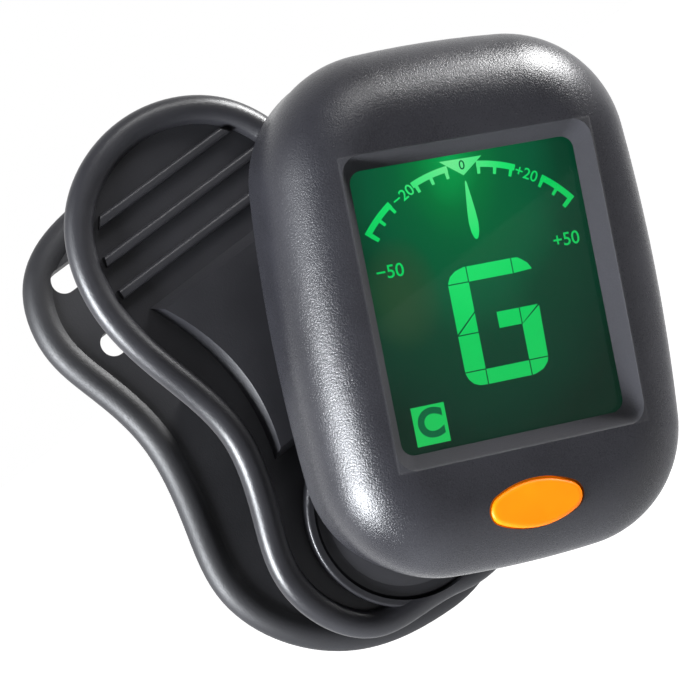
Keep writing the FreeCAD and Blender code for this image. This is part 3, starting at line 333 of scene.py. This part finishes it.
# The note letter in cut segments, with hairline gaps.
LEFT, RIGHT, TOP, BOTTOM = -3.72, 5.15, 3.05, -8.75
COLUMN, ROW, GAP = 2.17, 1.52, 0.055
in_left, in_right = LEFT + COLUMN, RIGHT - COLUMN + 0.15
MID_TOP, MID_BOTTOM = -1.93, -3.55
segments = {
    "note_top_left": [(in_left - GAP, TOP - ROW + GAP), (in_left - GAP, TOP), (LEFT + 1.9, TOP),
                      (LEFT + 0.95, TOP - 0.28), (LEFT + 0.35, TOP - 0.72),
                      (LEFT + 0.08, TOP - 1.25), (LEFT + 0.02, TOP - ROW + GAP)],
    "note_top": [(in_left + GAP, TOP - ROW), (in_right + 0.1 - GAP, TOP - ROW),
                 (in_right + 0.1 - GAP, TOP), (in_left + GAP, TOP)],
    "note_top_right": [(in_right + 0.1 + GAP, TOP - ROW), (RIGHT + 0.1, TOP - ROW + 0.12),
                       (RIGHT - 0.25, TOP - 0.75), (RIGHT - 0.85, TOP - 0.28),
                       (in_right + 0.8, TOP - 0.03), (in_right + 0.1 + GAP, TOP)],
    "note_left_upper": [(LEFT, TOP - ROW - GAP), (in_left, TOP - ROW - GAP), (in_left, -1.5 + GAP),
                        (LEFT, MID_BOTTOM + 0.05 + 2 * GAP)],
    "note_left_wedge": [(LEFT + 2 * GAP, MID_BOTTOM + GAP), (in_left, -1.5 - 2 * GAP),
                        (in_left, MID_BOTTOM + GAP)],
    "note_left_lower": [(LEFT, MID_BOTTOM - GAP), (in_left, MID_BOTTOM - GAP),
                        (in_left, BOTTOM + ROW + GAP), (LEFT, BOTTOM + ROW + GAP)],
    "note_bottom_left": [(LEFT, BOTTOM + ROW - GAP), (in_left - GAP, BOTTOM + ROW - GAP),
                         (in_left - GAP, BOTTOM), (LEFT + 1.3, BOTTOM + 0.05),
                         (LEFT + 0.7, BOTTOM + 0.3), (LEFT + 0.25, BOTTOM + 0.8)],
    "note_bottom": [(in_left + GAP, BOTTOM), (in_right - GAP, BOTTOM),
                    (in_right - GAP, BOTTOM + ROW - 0.02), (in_left + GAP, BOTTOM + ROW - 0.02)],
    "note_bottom_right": [(in_right + GAP, BOTTOM), (in_right + 0.5, BOTTOM + 0.08),
                          (RIGHT - 0.7, BOTTOM + 0.4), (RIGHT - 0.15, BOTTOM + 1.0),
                          (RIGHT, BOTTOM + ROW - GAP), (in_right + GAP, BOTTOM + ROW - GAP)],
    "note_right": [(in_right, BOTTOM + ROW + GAP), (RIGHT, BOTTOM + ROW + GAP),
                   (RIGHT + 0.1, MID_TOP - 2 * GAP), (in_right, MID_BOTTOM - GAP)],
    "note_right_wedge": [(in_right + GAP, MID_BOTTOM + GAP), (RIGHT + 0.1 - 2 * GAP, MID_TOP),
                         (in_right + GAP, MID_TOP)],
    "note_bar": [(0.70, MID_BOTTOM), (in_right - GAP, MID_BOTTOM), (in_right - GAP, MID_TOP),
                 (0.70, MID_TOP)],
}
for name, loop in segments.items():
    to_screen(flat_outline(name, [loop]), symbol)

# The mode mark: a lit box with a dark letter in it.
to_screen(flat_outline("mode_box", [[(-9.97, -13.42), (-6.5, -13.42), (-6.5, -9.55), (-9.97, -9.55)]]),
          symbol)
words("mode_letter", "C", 2.8, (-8.2, -11.45), 0, dark_ink, LAYER - 0.01 * MM, 0.055)

# ---------------------------------------------------------------- inside the head
# Hidden when the case is shut: the moulded frame, light guide, board, chip and battery cup.
white = moulded("white_plastic", (0.62, 0.62, 0.58), 0.45, 0.3 * MM, 0.004 * MM)
guide = moulded("light_guide", (0.70, 0.85, 0.74), 0.25, 0.4 * MM, 0.003 * MM)
mask = moulded("solder_mask", (0.010, 0.13, 0.045), 0.30, 0.5 * MM, 0.006 * MM)
epoxy = moulded("chip_epoxy", (0.012, 0.012, 0.013), 0.5, 0.1 * MM, 0.006 * MM)
rubber = moulded("jaw_rubber", (0.022, 0.022, 0.023), 0.62, 0.22 * MM, 0.02 * MM)
for finish, names in ((white, ("lcd_frame", "battery_tray")),
                      (guide, ("backlight_panel", "backlight_led")),
                      (mask, ("circuit_board",)), (epoxy, ("processor_chip",)),
                      (rubber, ("zebra_strip", "front_pad", "back_pad"))):
    for name in names:
        dress(nodes[name], finish)

# ---------------------------------------------------------------- power button
# An oval cap in orange plastic with a satin top and a faint painted glow that stands in for light
# falling on it.
orange = moulded("orange_cap_painted_glow", (1.0, 0.20, 0.001), 0.42, 0.4 * MM, 0.004 * MM, 0.05)
# The emission is a painted glow: it lightens the cap as lamplight would, though the cap is no lamp.
orange.set(Emission_Color=(1.0, 0.21, 0.0), Emission_Strength=0.36, Specular_IOR_Level=0.2)
dress(nodes["power_button"], orange)

# ---------------------------------------------------------------- clip and swivel
# The levers and the turntable are black ABS, smoother than the case; the back lever is the dullest, and
# its darker base colour is painted shade.
black = moulded("black_clip", (0.018, 0.018, 0.021), 0.37, 0.20 * MM, 0.022 * MM)
# This copy's darker base colour is painted shade; its higher roughness is a real duller finish.
dull_painted_shade = moulded("black_back", (0.012, 0.012, 0.014), 0.52, 0.20 * MM, 0.022 * MM)
for name in ("front_lever", "swivel_base"):
    dress(nodes[name], black)
dress(nodes["back_lever"], dull_painted_shade)

# ---------------------------------------------------------------- floor, light and camera
# A floor some way below the part, painted mid grey and dark under it and towards the camera as painted
# shade, and pale with a painted glow beyond, in a room that is dark behind the camera and white ahead,
# with soft boxes to the left and over the top.
FLOOR_DROP, FLOOR_SIZE = 0.25, 6
bpy.context.scene.view_settings.view_transform = "Standard"
bpy.ops.object.select_all(action="DESELECT")
low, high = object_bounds()
bpy.ops.mesh.primitive_plane_add(size=FLOOR_SIZE, location=(0, 0, low.z - FLOOR_DROP))
floor = bpy.context.object
floor.name = "floor"
paper_painted_light = Finish("floor_painted_shade_and_glow", Roughness=0.9, Specular_IOR_Level=0.1)
depth = paper_painted_light.node("ShaderNodeSeparateXYZ", None, {0: paper_painted_light.place()}, out=1)
far = paper_painted_light.span(depth, 0.2, 0.6)
# Painted shade near the camera and under the part (grey, barely glowing), painted light beyond (white
# and glowing to meet the room).
paper_painted_light.set(Base_Color=paper_painted_light.mix(far, (0.42, 0.42, 0.43), (0.9, 0.9, 0.9)),
          Emission_Color=paper_painted_light.mix(far, (0.03, 0.03, 0.03), (1, 1, 1)), Emission_Strength=0.75)
dress(floor, paper_painted_light)

RIGHT_WAY = Vector((0.7484, -0.3169, -0.5827))
UP_WAY = Vector((0.5990, -0.0542, 0.7989))
AHEAD = Vector((0.2848, 0.9469, -0.1492))

# How far ahead the room starts and stops getting lighter, and its two strengths.
ROOM_FADE = (-0.2, 0.75, 0.07, 1.0)
world = bpy.data.worlds.new("studio")
bpy.context.scene.world = world
world.use_nodes = True
tree = world.node_tree
toward = tree.nodes.new("ShaderNodeTexCoord")
dot = tree.nodes.new("ShaderNodeVectorMath")
dot.operation = "DOT_PRODUCT"
dot.inputs[1].default_value = AHEAD
fade = tree.nodes.new("ShaderNodeMapRange")
for key, value in enumerate(ROOM_FADE, start=1):
    fade.inputs[key].default_value = value
tree.links.new(toward.outputs["Generated"], dot.inputs[0])
tree.links.new(dot.outputs["Value"], fade.inputs[0])
back = tree.nodes["Background"]
back.inputs["Color"].default_value = (1, 1, 1, 1)
tree.links.new(fade.outputs[0], back.inputs["Strength"])


def soft_box(name, aim, way, distance, wide, tall, power, colour=(1, 1, 1)):
    data = bpy.data.lights.new(name, "AREA")
    data.shape, data.size, data.size_y = "RECTANGLE", wide, tall
    data.energy, data.color = power, colour
    lamp = bpy.data.objects.new(name, data)
    bpy.context.scene.collection.objects.link(lamp)
    lamp.location = aim + way.normalized() * distance
    lamp.rotation_euler = (-way).to_track_quat("-Z", "Y").to_euler()
    return lamp


middle = (low + high) / 2


def way(right, up, ahead):
    return RIGHT_WAY * right + UP_WAY * up + AHEAD * ahead


soft_box("left_box", middle, way(-0.70, -0.52, -0.46), 0.42, 0.11, 0.15, 5.8, (0.93, 0.96, 1.0))
soft_box("left_fill", middle, way(-0.90, -0.05, -0.42), 0.50, 0.30, 0.30, 0.8, (0.95, 0.97, 1.0))
soft_box("top_box", middle, way(0.475, 0.83, -0.02), 0.45, 0.20, 0.14, 4.2)
soft_box("upper_fill", middle, way(0.0, 0.84, -0.54), 0.50, 0.20, 0.14, 0.8)
soft_box("face_fill", middle, way(0.10, 0.20, -1.0), 0.60, 0.30, 0.30, 0.10)

camera_data = bpy.data.cameras.new("camera")
camera_data.lens = 94.72
camera_data.sensor_width = 36
camera = bpy.data.objects.new("camera", camera_data)
bpy.context.scene.collection.objects.link(camera)
CAMERA_SPOT = Vector((-51.849, -196.984, 46.98)) * MM
camera.matrix_world = Matrix.Translation(CAMERA_SPOT) @ Matrix((
    (RIGHT_WAY.x, UP_WAY.x, -AHEAD.x), (RIGHT_WAY.y, UP_WAY.y, -AHEAD.y),
    (RIGHT_WAY.z, UP_WAY.z, -AHEAD.z))).to_4x4()
bpy.context.scene.camera = camera
